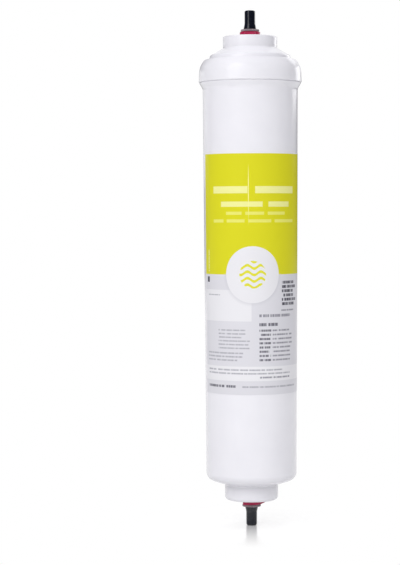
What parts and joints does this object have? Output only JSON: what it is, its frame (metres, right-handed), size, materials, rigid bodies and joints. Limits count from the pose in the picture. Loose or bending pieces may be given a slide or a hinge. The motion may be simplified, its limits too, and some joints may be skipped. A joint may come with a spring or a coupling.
{
  "type": "inline water filter cartridge",
  "caption": "Slim white in-line water filter cartridge for a fridge: tubular welded body with label band, and at each end a push-fit tube port with red locking clip and black dust plug.",
  "frame": {"origin": "on the axis of the cartridge, halfway between its two neck faces", "axes": "+Z along the axis from the outlet to the inlet, which has the welded lid; -Y is the labelled front, +X to its right"},
  "size_m": [0.0686, 0.0686, 0.343],
  "materials": {
    "white_polypropylene": "satin moulded",
    "label_film": "printed film",
    "pressed_carbon": "granular pressed carbon",
    "fleece": "melt-blown fleece",
    "cap_polypropylene": "moulded",
    "black_rubber": "moulded rubber",
    "grey_acetal": "satin moulded",
    "tooth_steel": "stamped",
    "red_acetal": "satin moulded",
    "black_polyethylene": "satin moulded"
  },
  "bodies": {
    "cartridge": {"housing": "white_polypropylene", "lid": "white_polypropylene", "label": "label_film", "carbon_block": "pressed_carbon", "fleece_wrap": "fleece", "upper_end_cap": "cap_polypropylene", "lower_end_cap": "cap_polypropylene", "spigot_seal": "black_rubber", "inlet_retainer": "white_polypropylene", "inlet_washer": "cap_polypropylene", "inlet_tube_seal": "black_rubber", "outlet_retainer": "white_polypropylene", "outlet_washer": "cap_polypropylene", "outlet_tube_seal": "black_rubber"},
    "inlet_collet_body": {"inlet_collet": "grey_acetal", "inlet_collet_teeth": "tooth_steel"},
    "inlet_clip_body": {"inlet_clip": "red_acetal"},
    "inlet_plug_body": {"inlet_plug": "black_polyethylene"},
    "outlet_collet_body": {"outlet_collet": "grey_acetal", "outlet_collet_teeth": "tooth_steel"},
    "outlet_clip_body": {"outlet_clip": "red_acetal"},
    "outlet_plug_body": {"outlet_plug": "black_polyethylene"}
  },
  "joints": [
    {"name": "inlet_collet_press", "type": "slide", "parent": "cartridge", "child": "inlet_collet_body", "axis": [0, 0, -1], "range_m": [0, 0.0003]},
    {"name": "inlet_clip_pull", "type": "slide", "parent": "cartridge", "child": "inlet_clip_body", "axis": [0, -1, 0], "range_m": [0, 0.03]},
    {"name": "inlet_plug_pull", "type": "slide", "parent": "inlet_collet_body", "child": "inlet_plug_body", "axis": [0, 0, 1], "range_m": [0, 0.06]},
    {"name": "outlet_collet_press", "type": "slide", "parent": "cartridge", "child": "outlet_collet_body", "axis": [0, 0, 1], "range_m": [0, 0.0003]},
    {"name": "outlet_clip_pull", "type": "slide", "parent": "cartridge", "child": "outlet_clip_body", "axis": [1, 0, 0], "range_m": [0, 0.03]},
    {"name": "outlet_plug_pull", "type": "slide", "parent": "outlet_collet_body", "child": "outlet_plug_body", "axis": [0, 0, -1], "range_m": [0, 0.06]}
  ]
}
